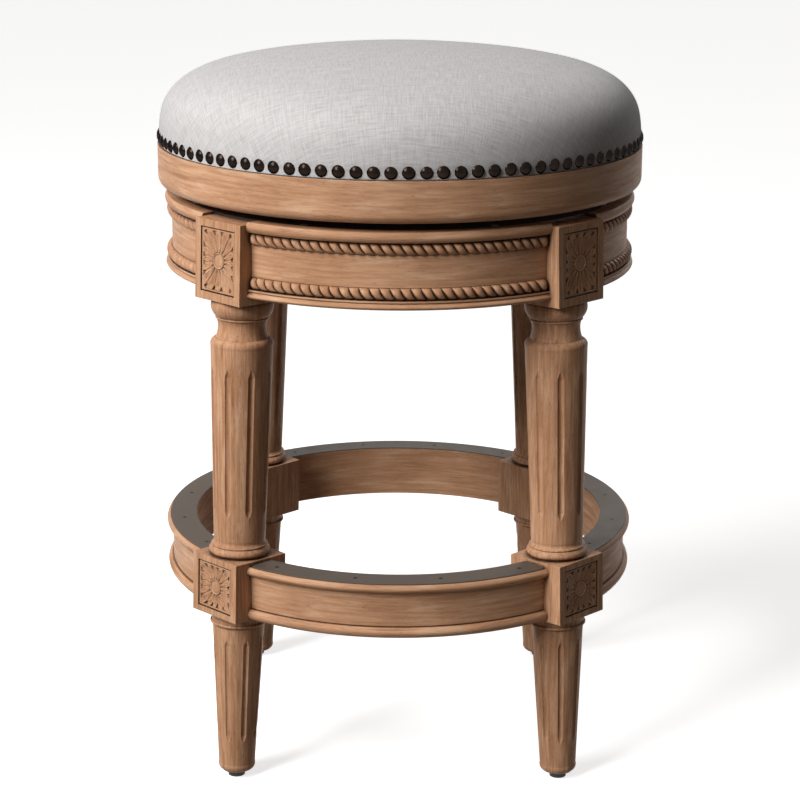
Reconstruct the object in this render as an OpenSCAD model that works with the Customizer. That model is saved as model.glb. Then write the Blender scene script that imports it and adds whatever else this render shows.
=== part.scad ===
// Round backless swivel stool: four turned and fluted legs with square blocks, a moulded round
// apron, a round footrest with metal tread plates, a ball-bearing swivel and an upholstered seat.
// The frame has its origin on the floor below the centre, +Z up, and the front faces -Y.

/* [Legs] */
// Height of the plastic glide under each leg
glide_h = 6.5; // [2:0.5:8]
// Diameter of the glide
glide_d = 16; // [12:0.5:20]
// Length of the tapered foot between the glide and the lower block
lower_leg_h = 163; // [120:0.5:200]
// Height of the lower block, which carries the footrest
foot_block_h = 57.5; // [54:0.5:70]
// Length of the turned column between the blocks
column_h = 247; // [220:0.5:330]
// Height of the upper block, which carries the apron
apron_block_h = 75.5; // [73:0.5:90]
// Width of the square blocks
block_w = 62; // [60.5:0.5:68]
// Lean of each leg towards the centre, in degrees
leg_splay = 2; // [0:0.1:3]
// How far the upper block stands out past the apron
block_proud = 6; // [3:0.5:10]
// Turn of the flutes on each leg, in degrees
flute_turn_list = [22.5, 5, 22.5, 5];

/* [Leg turning] */
// Diameter at the rounded end of the foot
foot_end_d = 28; // [20:0.5:31]
// Diameter just above the rounded end
foot_taper_d = 35; // [31:0.5:40]
// Height of the rounding at the end of the foot
foot_round_h = 8; // [5:0.5:14]
// Diameter of the foot below its collar
foot_top_d = 49.8; // [44:0.1:52]
// Diameter of the rim at the foot of the collar
foot_rim_d = 54.4; // [53:0.1:57]
// Height of that rim
foot_rim_h = 3.2; // [2:0.1:5]
// Diameter of the collar where it meets the lower block
foot_collar_d = 58.8; // [56:0.1:60]
// Height of the collar with its rim
foot_collar_h = 11.5; // [9:0.5:20]
// Depth of the turned line below that collar
quirk_depth = 0.9; // [0.5:0.1:1.5]
// Diameter of the round swelling at the base of the column
base_swell_d = 58; // [56:0.1:60]
// Height of that swelling
base_swell_h = 9.4; // [7:0.1:12]
// Diameter of the thin ring above the swelling
base_ring_d = 53.6; // [52:0.1:55]
// Height of that ring
base_ring_h = 1.9; // [1.2:0.1:3]
// Height of the hollow between the ring and the column
base_hollow_h = 5; // [3:0.5:9]
// Diameter of the column at its foot
column_low_d = 49.2; // [44:0.1:51]
// Diameter of the column at its shoulder
column_top_d = 58.6; // [54:0.1:60]
// Height of the rounded shoulder
shoulder_h = 8; // [5:0.1:10]
// Diameter where the shoulder meets the neck
shoulder_top_d = 51; // [49:0.1:52]
// Smallest diameter of the neck
neck_d = 45; // [40:0.1:47]
// Height of the hollow neck
neck_h = 18.4; // [14:0.1:22]
// Diameter of the fillet above the neck
fillet_d = 50.2; // [48:0.1:52]
// Height of the fillet
fillet_h = 2.1; // [1.5:0.1:4]
// Diameter of the cap under the upper block
cap_d = 58.2; // [56:0.1:60]
// Height of the cap
cap_h = 16; // [12:0.5:24]

/* [Flutes] */
// Number of flutes round each turned length
flute_count = 8; // [6:1:10]
// Radius of the cutter that makes a flute of the column
flute_cut_r = 3.6; // [3:0.1:5]
// Depth of a flute of the column
flute_depth = 2; // [1.5:0.1:2.6]
// Radius of the cutter that makes a flute of the foot
foot_flute_cut_r = 3.2; // [2.6:0.1:4]
// Depth of a flute of the foot
foot_flute_depth = 1.7; // [1.2:0.1:2.2]
// Length over which the cutter leaves the wood at each end
flute_runout = 13; // [10:1:24]
// Plain length below the flutes of the column
column_flute_low = 24; // [16:1:40]
// Plain length between the flutes and the shoulder of the column
column_flute_top = 19; // [14:1:40]
// Plain length below the flutes of the foot
foot_flute_low = 25; // [14:1:34]
// Plain length between the flutes and the collar of the foot
foot_flute_top = 12; // [8:1:24]

/* [Apron] */
// Outer diameter of the apron
apron_d = 458; // [430:1:480]
// Height of the apron
apron_h = 70.5; // [66:0.5:85]
// How far the apron stands above the leg blocks
apron_rise = 2.5; // [1:0.5:5]
// Inner diameter of the apron
apron_inner_d = 408; // [380:1:410]
// How far the flat band is set back from the lips
apron_band_inset = 6.4; // [5:0.1:7.5]
// Height of the upper lip
apron_lip_h = 10.2; // [8:0.1:13]
// Height of the lower lip
apron_base_h = 5.6; // [4:0.1:7.5]
// Height of the fillet between the lower lip and its rope moulding
apron_fillet_h = 2.4; // [1.8:0.1:4]

/* [Rope moulding] */
// Height of a rope moulding
rope_h = 11.4; // [9:0.1:13]
// Beads along one strip
rope_count = 31; // [24:1:33]
// Slant of the beads, in degrees
rope_slant = 33; // [20:1:40]
// Gap between the end of a rope strip and the leg block
rope_end_gap = 0.3; // [0.1:0.1:1]
// How far the upper rope stands out from the band
rope_proud_top = 4.6; // [3:0.1:5.5]
// How far the lower rope stands out from the band
rope_proud_low = 5.4; // [4:0.1:6]
// Depth of the groove that holds a rope strip
rope_groove = 1.2; // [0.8:0.1:2]
// Clearance behind a rope strip in its groove
rope_clear = 0.03; // [0.02:0.01:0.1]

/* [Footrest] */
// Height of the footrest rails
foot_rail_h = 51.5; // [48:0.5:60]
// How far the rails stand above the underside of the blocks
foot_rail_rise = 2; // [0.5:0.1:4]
// How far the rails are set back from the face of the blocks
foot_setback = 12; // [8:0.5:16]
// Width of the rails from the inner wall to the lip
foot_rail_w = 29.5; // [26:0.5:34]
// How far the band of the rails is set back from the lip
foot_band_inset = 5.6; // [4:0.1:7]
// Height of the rounded lip at the top
foot_lip_h = 8; // [6:0.1:10]
// Height of the round bead at the bottom
foot_bead_h = 9.4; // [7:0.1:12]
// Thickness of the metal tread plates
plate_t = 1.2; // [0.8:0.1:2]
// How far a tread plate is set back from the lip
plate_setback = 3.2; // [2.5:0.1:6]
// Gap between a tread plate and the leg block
plate_gap = 1; // [0.5:0.1:3]
// Corner radius of a tread plate
plate_corner_r = 4; // [2:0.5:6]
// Screws in each tread plate
plate_screw_count = 4; // [2:1:5]
// Angle between neighbouring plate screws, in degrees
plate_screw_step = 21; // [14:0.5:22]

/* [Rosettes] */
// Width of the carved fields
rosette_w = 47; // [42:0.5:50]
// Height of the fields on the upper blocks
apron_rosette_h = 60.5; // [54:0.5:63]
// Height of the fields on the lower blocks
foot_rosette_h = 46; // [40:0.5:48]
// Depth of the pocket in the block
rosette_pocket = 4; // [3:0.1:6]
// Thickness of the ground of the carved panel
rosette_ground = 1.6; // [1:0.1:2.5]
// Height of the petals above the ground
petal_h = 1.9; // [1:0.1:2.2]
// Petals round the button
petal_count = 16; // [10:1:18]
// Diameter of the button
button_d = 15; // [8:0.5:17]
// Height of the button above the ground
button_h = 2.2; // [1:0.1:2.3]

/* [Joinery] */
// Diameter of the dowels
dowel_d = 8; // [6:0.5:10]
// Depth of a dowel in each piece
dowel_depth = 18; // [12:1:22]
// Radial clearance of a dowel in its hole
dowel_clear = 0.05; // [0.02:0.01:0.1]
// Distance between the two dowels of a joint
dowel_pitch = 26; // [20:1:28]

/* [Base panel] */
// Thickness of the panel inside the apron
panel_t = 12; // [9:0.5:15]
// Width of the ledge that carries the panel
panel_ledge = 10; // [8:0.5:12]
// Gap round the panel
panel_clear = 0.3; // [0.2:0.1:1]
// How far the panel lies below the top of the apron
panel_drop = 0.2; // [0:0.1:1]
// Diameter of the hole that gives a driver access to the upper screws
access_d = 14; // [10:1:20]

/* [Swivel] */
// Side of the square swivel plates
swivel_w = 175; // [160:1:190]
// Corner radius of the swivel plates
swivel_corner_r = 16; // [8:1:24]
// Thickness of the swivel plates
swivel_t = 2.2; // [1.5:0.1:3]
// Height of the whole swivel
swivel_h = 15; // [13:0.1:17]
// Radius of the ball track
race_r = 60; // [50:1:66]
// Width of the raised track
race_w = 10; // [9:0.5:14]
// Diameter of a ball
ball_d = 6.35; // [5.8:0.05:6.5]
// Number of balls
ball_count = 36; // [24:1:40]
// Radial clearance of the balls in the track and the cage
ball_clear = 0.05; // [0.02:0.01:0.1]
// Thickness of the ball cage
cage_t = 1; // [0.6:0.1:1.4]
// Width of the ball cage
cage_w = 13; // [11:0.5:16]
// Outer diameter of the hub
hub_d = 28; // [20:1:36]
// Bore of the hub
hub_bore_d = 20; // [12:1:20]
// Radial running clearance of the upper plate on the hub
hub_clear = 0.05; // [0.02:0.01:0.1]
// Width of the flange that traps the upper plate
hub_flange_w = 5; // [3:0.5:8]
// Thickness of the flange and of the shoulder
hub_flange_t = 1.5; // [1:0.1:2.5]
// Distance of the plate screws from the middle of a side
swivel_screw_place = 72; // [68:1:74]

/* [Seat] */
// Diameter of the seat frame
seat_d = 470; // [445:1:500]
// Gap between the apron and the seat frame
seat_gap = 8.2; // [6:0.1:10]
// Height of the bare wood band of the seat frame
wood_band_h = 39; // [34:0.5:50]
// Radius of the rounded lower edge of the frame
frame_edge_r = 8; // [4:0.5:12]
// Height of the frame behind the fabric
frame_turn_h = 12; // [10:0.5:12]
// Width of the frame at its underside
frame_w = 40; // [34:0.5:50]
// Width of the wall of the frame beside the board
frame_wall = 18; // [17:0.5:22]
// Thickness of the seat board
board_t = 18; // [15:0.5:22]
// Gap round the seat board
board_clear = 0.3; // [0.2:0.1:1]
// Thickness of the cover fabric with its lining
cover_t = 1.6; // [1:0.1:2.5]
// How far the fabric lies behind the bare wood at the nails
cover_set_in = 2.4; // [0.5:0.1:3.5]
// Gap between the soft parts and their neighbours
soft_gap = 0.3; // [0.2:0.1:1]
// Height of the cushion's rounded side above the nails
crown_side_h = 62; // [45:1:75]
// Further rise of the cushion to its middle
crown_dome_h = 17; // [2:1:20]
// Squareness of the cushion's shoulder, seen in plan
crown_plan_power = 9; // [6:0.5:14]
// Squareness of the cushion's shoulder, seen from the side
crown_side_power = 2.4; // [1.6:0.1:3]

/* [Nails] */
// Number of upholstery nails
nail_count = 94; // [80:1:100]
// Diameter of a nail head
nail_head_d = 12.1; // [9:0.1:12.5]
// Height of a nail head
nail_head_h = 3.1; // [2.5:0.1:4.5]
// Diameter of a nail's shank
nail_shank_d = 1.8; // [1.4:0.1:2.4]
// Length of a nail's shank
nail_shank_l = 13; // [9:0.5:15]
// Height of the nails above the edge of the fabric
nail_rise = 7.1; // [7:0.1:9]

/* [Screws] */
// Diameter of the small screw heads on the tread plates
plate_screw_head_d = 5; // [4:0.1:6]
// Diameter of those screws
plate_screw_d = 2.8; // [2.2:0.1:3.4]
// Length of those screws
plate_screw_l = 14; // [10:0.5:20]
// Diameter of the larger screw heads
screw_head_d = 8.4; // [7:0.1:9]
// Diameter of the larger screws
screw_d = 4.2; // [3:0.1:4.8]
// Height of the countersunk part of a screw head
screw_head_h = 2.2; // [1.8:0.1:3]
// Length of the panel screws
panel_screw_l = 34; // [24:1:45]
// Length of the screws through the swivel plates
swivel_screw_l = 11; // [8:0.5:11.5]
// Length of the screws that hold the seat board
board_screw_l = 20; // [14:0.5:22]
// Number of screws that hold the seat board
board_screw_count = 8; // [6:1:12]
// Diameter of the nail that holds a glide
glide_nail_d = 3; // [2:0.1:4]
// Length of the nail that holds a glide
glide_nail_l = 20; // [14:1:30]
// Diameter of the glide nail's head
glide_head_d = 8; // [6:0.5:10]

/* [Hidden] */
$fn = 96;
cut = 1;

wood = "#a9805a";
ply = "#d8bf95";
plate_metal = "#55504a";
nail_metal = "#2b2320";
steel = "#b9bcc0";
linen = "#cfcbc6";
foam = "#efe6c4";
nylon = "#1c1a19";

side_turns = [-90, 0, 90, 180];
leg_turns = [-135, -45, 45, 135];

// Heights above the floor
foot_block_z = glide_h + lower_leg_h;
column_z = foot_block_z + foot_block_h;
apron_block_z = column_z + column_h;
block_top_z = apron_block_z + apron_block_h;
apron_top_z = block_top_z + apron_rise;
apron_z = apron_top_z - apron_h;
foot_rail_z = foot_block_z + foot_rail_rise;
foot_rail_top_z = foot_rail_z + foot_rail_h;
panel_top_z = apron_top_z - panel_drop;
panel_z = panel_top_z - panel_t;
board_z = panel_top_z + swivel_h;
seat_z = apron_top_z + seat_gap;
fabric_z = seat_z + wood_band_h;
frame_top_z = fabric_z + frame_turn_h;
nail_z = fabric_z + nail_rise;
ball_z = panel_top_z + swivel_h / 2;

// Radii
block_half = block_w / 2;
apron_r = apron_d / 2;
apron_inner_r = apron_inner_d / 2;
apron_band_r = apron_r - apron_band_inset;
rope_back_r = apron_band_r - rope_groove;
apron_axis_r = apron_r + block_proud - block_half;
leg_foot_r = apron_axis_r + tan(leg_splay) * (apron_block_z + apron_block_h / 2);
foot_axis_r = leg_foot_r - tan(leg_splay) * (foot_block_z + foot_block_h / 2);
foot_rail_r = foot_axis_r + block_half - foot_setback;
foot_inner_r = foot_rail_r - foot_rail_w;
foot_band_r = foot_rail_r - foot_band_inset;
plate_r = foot_rail_r - plate_setback;
plate_mid_r = (foot_inner_r + plate_r) / 2;
panel_r = apron_inner_r + panel_ledge;
panel_screw_r = apron_inner_r + panel_ledge / 2;
seat_r = seat_d / 2;
board_r = seat_r - frame_wall;
board_screw_r = seat_r - (frame_w + frame_wall) / 2;
cover_r = seat_r - cover_set_in;
rebate_r = cover_r - cover_t - 2 * soft_gap;
apron_dowel_r = sqrt(pow((apron_inner_r + apron_band_r) / 2, 2) - pow(block_half, 2));
foot_dowel_r = sqrt(pow((foot_inner_r + foot_band_r) / 2, 2) - pow(block_half, 2));
apron_dowel_z = (apron_z + panel_z) / 2;
foot_dowel_z = foot_rail_z + foot_rail_h / 2;

// Counts of points on the curved outlines
bow_steps = 6;
rope_sides = 5;
plate_facets = 120;
rope_rings = 3;

// Shares that shape the outlines
shoulder_bow_share = 0.2;
neck_waist_share = 0.6;
cap_bow_share = 0.16;
swell_bow_share = 0.32;
ring_bow_share = 0.3;
hollow_bow_share = -0.16;
collar_bow_share = -0.12;
lip_bow_share = 0.22;
foot_lip_bow_share = 0.36;
foot_bead_bow_share = 0.3;
petal_mid_share = 0.55;
petal_valley_share = 0.86;
valley_depth_share = 0.2;
button_rim_share = 0.82;
button_slope_share = 0.55;
rope_ring_share = [0, 0.22, 0.78];
rope_groove_share = 0.52;

// Points on a bowed line from a to b; a positive share bows to the right of the way there
function bow(a, b, share) = [
  for (i = [0 : bow_steps]) let (t = i / bow_steps)
    a + (b - a) * t + [b.y - a.y, a.x - b.x] * share * 4 * t * (1 - t)
];

// Points on a hollow line that rises from a to b and is narrowest, at waist_r, on its way there
function hollow(a, b, waist_r, waist_share) = [
  for (i = [0 : 2 * bow_steps]) let (
    t = i / (2 * bow_steps),
    is_low = t < waist_share,
    s = is_low ? 1 - t / waist_share : (t - waist_share) / (1 - waist_share)
  ) [waist_r + ((is_low ? a.x : b.x) - waist_r) * s * s, a.y + (b.y - a.y) * t]
];

// Radius on a straight taper at height z between two heights
function taper(z, z0, r0, z1, r1) = r0 + (r1 - r0) * (z - z0) / (z1 - z0);

// Height of the cushion's outer skin at a share s of its radius, drawn in by inset
function crown(s, inset) = [
  (cover_r - inset) * s,
  nail_z + (crown_side_h - inset) * pow(max(0, 1 - pow(s, crown_plan_power)), 1 / crown_side_power)
    + crown_dome_h * (1 - s * s)
];

// Half outline of the cushion, from the middle of the crown out to the nails
function crown_outline(inset) = [for (a = [0 : 5 : 90]) crown(sin(a), inset)];

// Distance from the middle to the edge of a rectangle in a direction
function field_reach(w, h, a) = min(
  abs(cos(a)) > 0.001 ? w / 2 / abs(cos(a)) : h, abs(sin(a)) > 0.001 ? h / 2 / abs(sin(a)) : w
);

// Puts its children on the leaning axis of a leg, with +X pointing away from the centre
module on_leg(turn) {
  rotate([0, 0, turn]) translate([leg_foot_r, 0, 0]) rotate([0, -leg_splay, 0]) children();
}

// The space between two neighbouring legs' blocks, on the +X side
module bay(gap, z, h) {
  reach = seat_d;
  apex = (block_half + gap) * sqrt(2);
  translate([0, 0, z]) linear_extrude(h)
    polygon([[apex, 0], [apex + reach, reach], [apex + reach, -reach]]);
}

module at_dowels(turn, r, z) {
  for (side = [-1, 1], level = [-1, 1])
    rotate([0, 0, turn]) translate([r, side * block_half, z + level * dowel_pitch / 2])
      rotate([90, 0, 0]) children();
}

module dowel_holes(turn, r, z) {
  at_dowels(turn, r, z)
    cylinder(r = dowel_d / 2 + dowel_clear, h = 2 * (dowel_depth + cut), center = true);
}

module dowels(r, z) {
  for (turn = leg_turns) at_dowels(turn, r, z)
    cylinder(d = dowel_d, h = 2 * dowel_depth, center = true);
}

// A countersunk screw with its head's flat face at z = 0, pointing down
module screw(head_d, shank_d, length, head_h) {
  rotate_extrude() polygon([
    [0, 0], [head_d / 2, 0], [shank_d / 2, -head_h], [shank_d / 2, shank_d - length], [0, -length]
  ]);
}

module foot_turning() {
  collar_z = foot_block_z - foot_collar_h;
  round_z = glide_h + foot_round_h;
  rim_r = foot_rim_d / 2 - ring_bow_share * foot_rim_h;
  rotate_extrude() polygon(concat(
    [[0, 0], [foot_end_d / 2, 0], [foot_end_d / 2, glide_h]],
    bow([foot_end_d / 2, glide_h], [foot_taper_d / 2, round_z], shoulder_bow_share),
    [[foot_top_d / 2, collar_z - quirk_depth], [foot_top_d / 2 - quirk_depth, collar_z]],
    bow([rim_r, collar_z], [rim_r, collar_z + foot_rim_h], ring_bow_share),
    bow([rim_r - quirk_depth / 2, collar_z + foot_rim_h], [foot_collar_d / 2, foot_block_z],
      collar_bow_share),
    [[foot_collar_d / 2, foot_block_z + cut], [0, foot_block_z + cut]]
  ));
}

module column_turning() {
  ring_z = column_z + base_swell_h;
  hollow_z = ring_z + base_ring_h;
  shaft_z = hollow_z + base_hollow_h;
  swell_r = base_swell_d / 2 - swell_bow_share * base_swell_h;
  ring_r = base_ring_d / 2 - ring_bow_share * base_ring_h;
  cap_z = apron_block_z - cap_h;
  neck_top_z = cap_z - fillet_h;
  neck_z = neck_top_z - neck_h;
  shoulder_z = neck_z - shoulder_h;
  rotate_extrude() polygon(concat(
    [[0, column_z - cut], [swell_r, column_z - cut]],
    bow([swell_r, column_z], [swell_r, ring_z], swell_bow_share),
    bow([ring_r, ring_z], [ring_r, hollow_z], ring_bow_share),
    bow([ring_r - quirk_depth / 2, hollow_z], [column_low_d / 2, shaft_z], hollow_bow_share),
    bow([column_top_d / 2, shoulder_z], [shoulder_top_d / 2, neck_z], shoulder_bow_share),
    hollow([shoulder_top_d / 2 - quirk_depth, neck_z], [fillet_d / 2 - quirk_depth, neck_top_z],
      neck_d / 2, neck_waist_share),
    [[fillet_d / 2, neck_top_z], [fillet_d / 2, cap_z - quirk_depth],
      [fillet_d / 2 - quirk_depth, cap_z]],
    bow([fillet_d / 2, cap_z], [cap_d / 2 - quirk_depth, apron_block_z], cap_bow_share),
    [[cap_d / 2 - quirk_depth, apron_block_z + cut], [0, apron_block_z + cut]]
  ));
}

module flute_cutter(length, cut_r) {
  rotate_extrude() polygon([
    [0, -flute_runout / 2], [cut_r, flute_runout / 2],
    [cut_r, length - flute_runout / 2], [0, length + flute_runout / 2]
  ]);
}

module flutes(z0, r0, z1, r1, turn, cut_r, depth) {
  lean = atan((r1 - r0) / (z1 - z0));
  for (i = [0 : flute_count - 1]) rotate([0, 0, turn + i * 360 / flute_count])
    translate([r0 + cut_r - depth, 0, z0]) rotate([0, lean, 0]) flute_cutter(z1 - z0, cut_r);
}

module column_flutes(turn) {
  low = column_z + base_swell_h + base_ring_h + base_hollow_h;
  top = apron_block_z - cap_h - fillet_h - neck_h - shoulder_h;
  z0 = low + column_flute_low;
  z1 = top - column_flute_top;
  flutes(z0, taper(z0, low, column_low_d / 2, top, column_top_d / 2),
    z1, taper(z1, low, column_low_d / 2, top, column_top_d / 2), turn, flute_cut_r, flute_depth);
}

module foot_flutes(turn) {
  low = glide_h + foot_round_h;
  top = foot_block_z - foot_collar_h;
  z0 = low + foot_flute_low;
  z1 = top - foot_flute_top;
  flutes(z0, taper(z0, low, foot_taper_d / 2, top, foot_top_d / 2),
    z1, taper(z1, low, foot_taper_d / 2, top, foot_top_d / 2), turn,
    foot_flute_cut_r, foot_flute_depth);
}

// A square block on the leg's axis with its pocket for a carved panel
module block(z, h, field_h) {
  difference() {
    translate([-block_half, -block_half, z]) cube([block_w, block_w, h]);
    translate([block_half - rosette_pocket, -rosette_w / 2, z + (h - field_h) / 2])
      cube([rosette_pocket + cut, rosette_w, field_h]);
  }
}

module leg(turn, flute_turn) {
  color(wood) difference() {
    on_leg(turn) difference() {
      union() {
        foot_turning();
        block(foot_block_z, foot_block_h, foot_rosette_h);
        column_turning();
        block(apron_block_z, apron_block_h, apron_rosette_h);
      }
      foot_flutes(flute_turn);
      column_flutes(flute_turn);
    }
    rotate([0, 0, turn]) {
      translate([leg_foot_r - block_w, -block_w, -block_w])
        cube([2 * block_w, 2 * block_w, block_w + glide_h]);
      translate([apron_axis_r - block_w, -block_w, block_top_z])
        cube([2 * block_w, 2 * block_w, block_w]);
    }
    translate([0, 0, panel_z]) cylinder(r = panel_r + panel_clear, h = panel_t + block_w);
    dowel_holes(turn, apron_dowel_r, apron_dowel_z);
    dowel_holes(turn, foot_dowel_r, foot_dowel_z);
    glide_nail_at(turn);
  }
}

module apron_rail(turn) {
  color(wood) difference() {
    intersection() {
      rotate_extrude() polygon(apron_outline());
      rotate([0, 0, turn]) bay(0, apron_z - cut, apron_h + 2 * cut);
    }
    for (leg_turn = [turn - 45, turn + 45]) dowel_holes(leg_turn, apron_dowel_r, apron_dowel_z);
    base_panel_screw_set();
  }
}

function apron_outline() = let (
  lip_z = apron_top_z - apron_lip_h,
  rope_low_z = apron_z + apron_base_h + apron_fillet_h,
  fillet_r = apron_r - apron_band_inset / 3,
  rebate = panel_r + panel_clear
) concat(
  [[apron_inner_r, apron_z], [fillet_r, apron_z]],
  bow([fillet_r, apron_z], [fillet_r, apron_z + apron_base_h - quirk_depth], lip_bow_share * 2),
  [[fillet_r - quirk_depth, apron_z + apron_base_h], [fillet_r, apron_z + apron_base_h + quirk_depth],
    [fillet_r, rope_low_z], [rope_back_r, rope_low_z], [rope_back_r, rope_low_z + rope_h],
    [apron_band_r, rope_low_z + rope_h], [apron_band_r, lip_z - rope_h], [rope_back_r, lip_z - rope_h],
    [rope_back_r, lip_z], [fillet_r - apron_band_inset / 3, lip_z]],
  bow([fillet_r, lip_z + quirk_depth], [fillet_r, apron_top_z], lip_bow_share),
  [[rebate, apron_top_z], [rebate, panel_z], [apron_inner_r, panel_z]]
);

// A point of a rope strip: k counts the rings along the strip, j goes from its top to its foot
function rope_point(k, j, z, depth, step, half, lean) = let (
  bead = floor(k / rope_rings),
  place = bead + rope_ring_share[k % rope_rings],
  ease = min(1, k / rope_rings, (rope_count * rope_rings - k) / rope_rings),
  phi = 90 - j * 180 / (rope_sides - 1),
  a = place * step - half - ease * lean * phi / 90,
  r = rope_back_r + rope_clear + depth * (k % rope_rings == 0 ? rope_groove_share : 1) * cos(phi)
) [r * cos(a), r * sin(a), z + rope_h / 2 * (1 + sin(phi))];

// A strip of rope moulding on the +X side, one closed tube of slanted beads
module rope_strip(z, proud) {
  depth = rope_groove + proud;
  half = 45 - asin((block_half + rope_end_gap) / rope_back_r);
  step = 2 * half / rope_count;
  lean = atan(rope_h / 2 * tan(rope_slant) / rope_back_r);
  last = rope_count * rope_rings;
  polyhedron(
    [for (k = [0 : last], j = [0 : rope_sides - 1]) rope_point(k, j, z, depth, step, half, lean)],
    concat(
      [[for (j = [0 : rope_sides - 1]) j],
        [for (j = [rope_sides - 1 : -1 : 0]) last * rope_sides + j]],
      [for (k = [0 : last - 1], j = [0 : rope_sides - 1]) let (
        p = k * rope_sides + j, q = k * rope_sides + (j + 1) % rope_sides
      ) each [[p, p + rope_sides, q + rope_sides], [p, q + rope_sides, q]]]
    )
  );
}

module rope_moulding(turn) {
  color(wood) rotate([0, 0, turn]) {
    rope_strip(apron_top_z - apron_lip_h - rope_h, rope_proud_top);
    rope_strip(apron_z + apron_base_h + apron_fillet_h, rope_proud_low);
  }
}

function foot_outline() = let (
  bead_r = foot_rail_r - foot_band_inset / 2,
  bead_z = foot_rail_z + foot_bead_h,
  lip_z = foot_rail_top_z - foot_lip_h
) concat(
  [[foot_inner_r, foot_rail_z], [bead_r, foot_rail_z]],
  bow([bead_r, foot_rail_z], [bead_r - quirk_depth, bead_z], foot_bead_bow_share),
  [[foot_band_r - quirk_depth, bead_z], [foot_band_r - quirk_depth, bead_z + quirk_depth],
    [foot_band_r, bead_z + quirk_depth], [foot_band_r, lip_z - 2 * quirk_depth],
    [foot_band_r + quirk_depth, lip_z - quirk_depth], [foot_band_r + quirk_depth, lip_z]],
  bow([bead_r, lip_z], [bead_r, foot_rail_top_z], foot_lip_bow_share),
  [[foot_inner_r, foot_rail_top_z]]
);

module foot_rail(turn) {
  color(wood) difference() {
    intersection() {
      rotate_extrude() polygon(foot_outline());
      rotate([0, 0, turn]) bay(0, foot_rail_z - cut, foot_rail_h + 2 * cut);
    }
    for (leg_turn = [turn - 45, turn + 45]) dowel_holes(leg_turn, foot_dowel_r, foot_dowel_z);
    plate_screws(turn);
  }
}

module plate_screws(turn) {
  for (i = [0 : plate_screw_count - 1])
    rotate([0, 0, turn + (i - (plate_screw_count - 1) / 2) * plate_screw_step])
      translate([plate_mid_r, 0, foot_rail_top_z + plate_t])
        screw(plate_screw_head_d, plate_screw_d, plate_screw_l, plate_t);
}

module foot_plate(turn) {
  reach = seat_d;
  apex = (block_half + plate_gap) * sqrt(2);
  color(plate_metal) difference() {
    rotate([0, 0, turn]) translate([0, 0, foot_rail_top_z]) linear_extrude(plate_t)
      offset(r = plate_corner_r) offset(delta = -plate_corner_r) intersection() {
        difference() {
          circle(r = plate_r, $fn = plate_facets);
          circle(r = foot_inner_r, $fn = plate_facets);
        }
        polygon([[apex, 0], [apex + reach, reach], [apex + reach, -reach]]);
      }
    plate_screws(turn);
  }
}

// Rings of the carved relief: the share of its reach and the height, for a petal and a valley
function relief_ring(w, h, ring) = [
  for (k = [0 : 2 * petal_count - 1]) let (
    a = k * 180 / petal_count,
    is_petal = k % 2 == 0,
    reach = field_reach(w, h, a),
    low = petal_h * valley_depth_share,
    spot = [
      [button_d / 2 * button_slope_share, button_h],
      [button_d / 2 * button_rim_share, button_h * button_slope_share],
      [button_d / 2, low],
      [reach * petal_mid_share, is_petal ? petal_h : low],
      [reach * (is_petal ? 1 : petal_valley_share), low]
    ][ring]
  ) [cos(a) * spot[0], sin(a) * spot[0], spot[1]]
];

module relief(w, h) {
  n = 2 * petal_count;
  rings = 5;
  flat = [for (p = relief_ring(w, h, rings - 1)) [p.x, p.y, -rosette_ground / 2]];
  points = concat(
    [[0, 0, button_h], [0, 0, -rosette_ground / 2]],
    [for (ring = [0 : rings - 1]) each relief_ring(w, h, ring)], flat
  );
  faces = concat(
    [for (k = [0 : n - 1]) [0, 2 + (k + 1) % n, 2 + k]],
    [for (ring = [0 : rings - 1], k = [0 : n - 1]) let (
      a = 2 + ring * n + k, b = 2 + ring * n + (k + 1) % n, c = b + n, d = a + n
    ) each [[a, b, c], [a, c, d]]],
    [for (k = [0 : n - 1]) [1, 2 + rings * n + k, 2 + rings * n + (k + 1) % n]]
  );
  polyhedron(points, faces);
}

// A carved panel in its pocket, with the relief facing away from the centre
module rosette(z, h, field_h) {
  translate([block_half - rosette_pocket, 0, z + h / 2]) {
    translate([0, -rosette_w / 2, -field_h / 2]) cube([rosette_ground, rosette_w, field_h]);
    translate([rosette_ground, 0, 0]) rotate([0, 90, 0]) rotate([0, 0, 90])
      relief(rosette_w, field_h);
  }
}

module apron_rosettes() {
  color(wood) for (turn = leg_turns) on_leg(turn)
    rosette(apron_block_z, apron_block_h, apron_rosette_h);
}

module foot_rosettes() {
  color(wood) for (turn = leg_turns) on_leg(turn)
    rosette(foot_block_z, foot_block_h, foot_rosette_h);
}

module foot_plate_screws() {
  color(nail_metal) for (turn = side_turns) plate_screws(turn);
}

module apron_dowels() { color(ply) dowels(apron_dowel_r, apron_dowel_z); }
module foot_rail_dowels() { color(ply) dowels(foot_dowel_r, foot_dowel_z); }

module base_panel_screw_set() {
  for (turn = side_turns, side = [-1, 1])
    rotate([0, 0, turn + side * asin(swivel_w / 2 / panel_r)])
      translate([panel_screw_r, 0, panel_top_z])
        screw(screw_head_d, screw_d, panel_screw_l, screw_head_h);
}

module base_panel_screws() { color(steel) base_panel_screw_set(); }

module base_panel() {
  color(ply) difference() {
    translate([0, 0, panel_z]) cylinder(r = panel_r, h = panel_t);
    base_panel_screw_set();
    lower_screw_set();
    access_hole();
  }
}

module access_hole() {
  translate([swivel_screw_place, 0, panel_z - cut])
    cylinder(d = access_d, h = panel_t + swivel_t + 2 * cut);
}

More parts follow.
